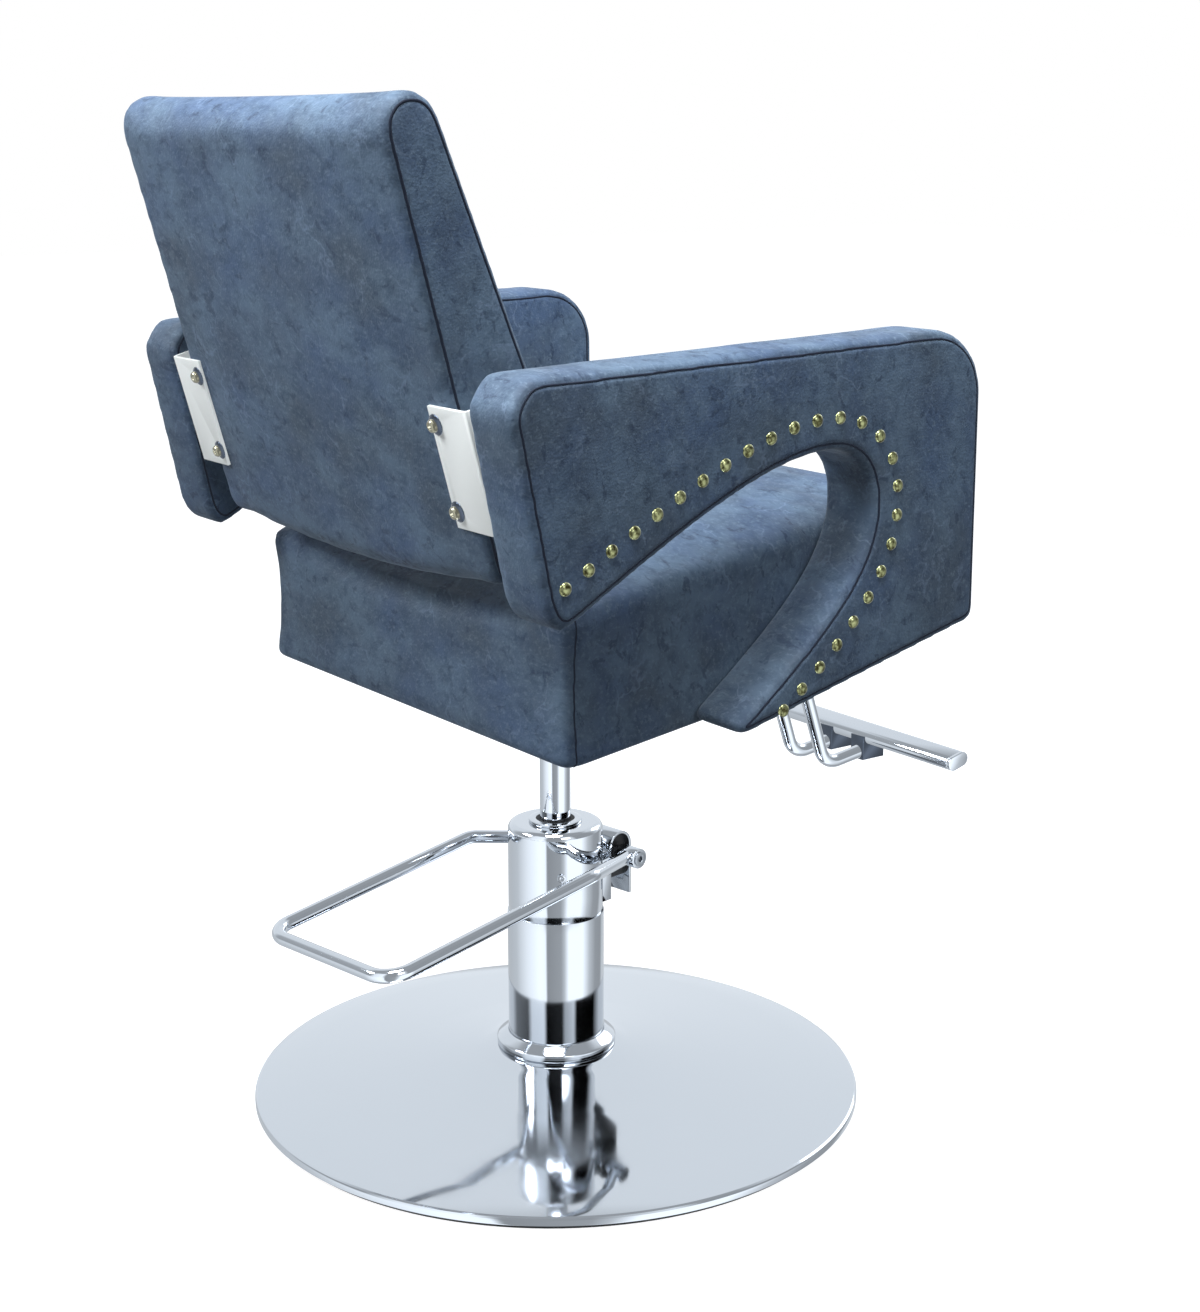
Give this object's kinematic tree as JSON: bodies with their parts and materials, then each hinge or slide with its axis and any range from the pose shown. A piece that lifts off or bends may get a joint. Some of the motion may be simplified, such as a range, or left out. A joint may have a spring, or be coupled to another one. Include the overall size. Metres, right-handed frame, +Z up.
{
  "type": "barber chair",
  "caption": "Hydraulic styling chair with upholstered seat, leaning back and hook-shaped nailed arms on a foot pump with a round chromed base, pedal and footrest.",
  "frame": {"origin": "centre of the base's underside on the pump's axis, on the floor", "axes": "+Z up; the sitter faces -Y; the sitter's right arm is at -X"},
  "size_m": [0.6564, 0.7204, 0.9685],
  "materials": {
    "leatherette": "blue-grey leatherette with a worn, mottled surface, on foam",
    "polished_chrome": "polished chromium plate",
    "dark_steel": "black painted steel",
    "zinc_steel": "zinc-plated steel",
    "bronze": "sintered bearing bronze",
    "antique_brass": "antique brass, slightly dulled",
    "pale_plate": "pale polished steel sheet",
    "black_rubber": "black rubber",
    "plywood": "raw birch plywood"
  },
  "bodies": {
    "base": {"base_pad": "black_rubber", "base_ballast": "dark_steel", "base_disc": "polished_chrome", "base_collar": "polished_chrome", "pump_foot": "dark_steel", "foot_bolts": "zinc_steel", "pump_tube": "polished_chrome", "pump_cap": "polished_chrome", "cap_screw": "zinc_steel", "pump_cylinder": "zinc_steel", "ram_bush": "polished_chrome", "ram_seal": "black_rubber", "pedal_shroud": "polished_chrome", "pivot_block": "dark_steel", "plunger_sleeve": "zinc_steel", "plunger_spring": "zinc_steel"},
    "pedal": {"pedal_shaft": "zinc_steel", "pedal_lever": "dark_steel", "pedal_bar": "polished_chrome", "pedal_sleeves": "polished_chrome", "pedal_screws": "zinc_steel"},
    "plunger": {"pump_plunger": "zinc_steel"},
    "ram": {"ram": "polished_chrome", "ram_piston": "zinc_steel", "hub_washer": "bronze"},
    "seat": {"seat_hub": "dark_steel", "seat_plate": "dark_steel", "plate_bolts": "zinc_steel", "seat_board": "plywood", "seat_side_rails": "plywood", "seat_end_rails": "plywood", "seat_cushion": "leatherette", "arm_pad_right": "leatherette", "arm_pad_left": "leatherette", "arm_board_right": "plywood", "arm_board_left": "plywood", "arm_bolts": "zinc_steel", "arm_nails_right": "antique_brass", "arm_nails_left": "antique_brass", "back_cushion": "leatherette", "back_board": "plywood", "back_bracket_right": "pale_plate", "back_bracket_left": "pale_plate", "back_bolts": "polished_chrome", "back_washers": "polished_chrome", "bracket_bolts": "zinc_steel", "footrest_socket": "dark_steel", "footrest_screws": "zinc_steel", "footrest_tube_right": "polished_chrome", "footrest_tube_left": "polished_chrome", "footrest_saddles": "dark_steel", "footrest_bar": "polished_chrome", "footrest_end_caps": "polished_chrome"}
  },
  "joints": [
    {"name": "lift", "type": "slide", "parent": "base", "child": "ram", "axis": [0, 0, 1], "range_m": [-0.1, 0.02]},
    {"name": "swivel", "type": "hinge", "parent": "ram", "child": "seat", "pos_m": [0, 0, 0.4], "axis": [0, 0, 1], "continuous": true},
    {"name": "pedal", "type": "hinge", "parent": "base", "child": "pedal", "pos_m": [0.01077, -0.06106, 0.239], "axis": [-0.9848, -0.1736, 0], "range_deg": [0, 25], "stiffness_Nm_per_rad": 12, "springref_deg": -22.92},
    {"name": "plunger", "type": "slide", "parent": "base", "child": "plunger", "axis": [0, 0, 1], "range_m": [-0.0118, 0], "deforming": ["plunger_spring"]}
  ],
  "couplings": [
    {"joint": "plunger", "follows": "pedal", "m_per_rad": -0.02676}
  ]
}
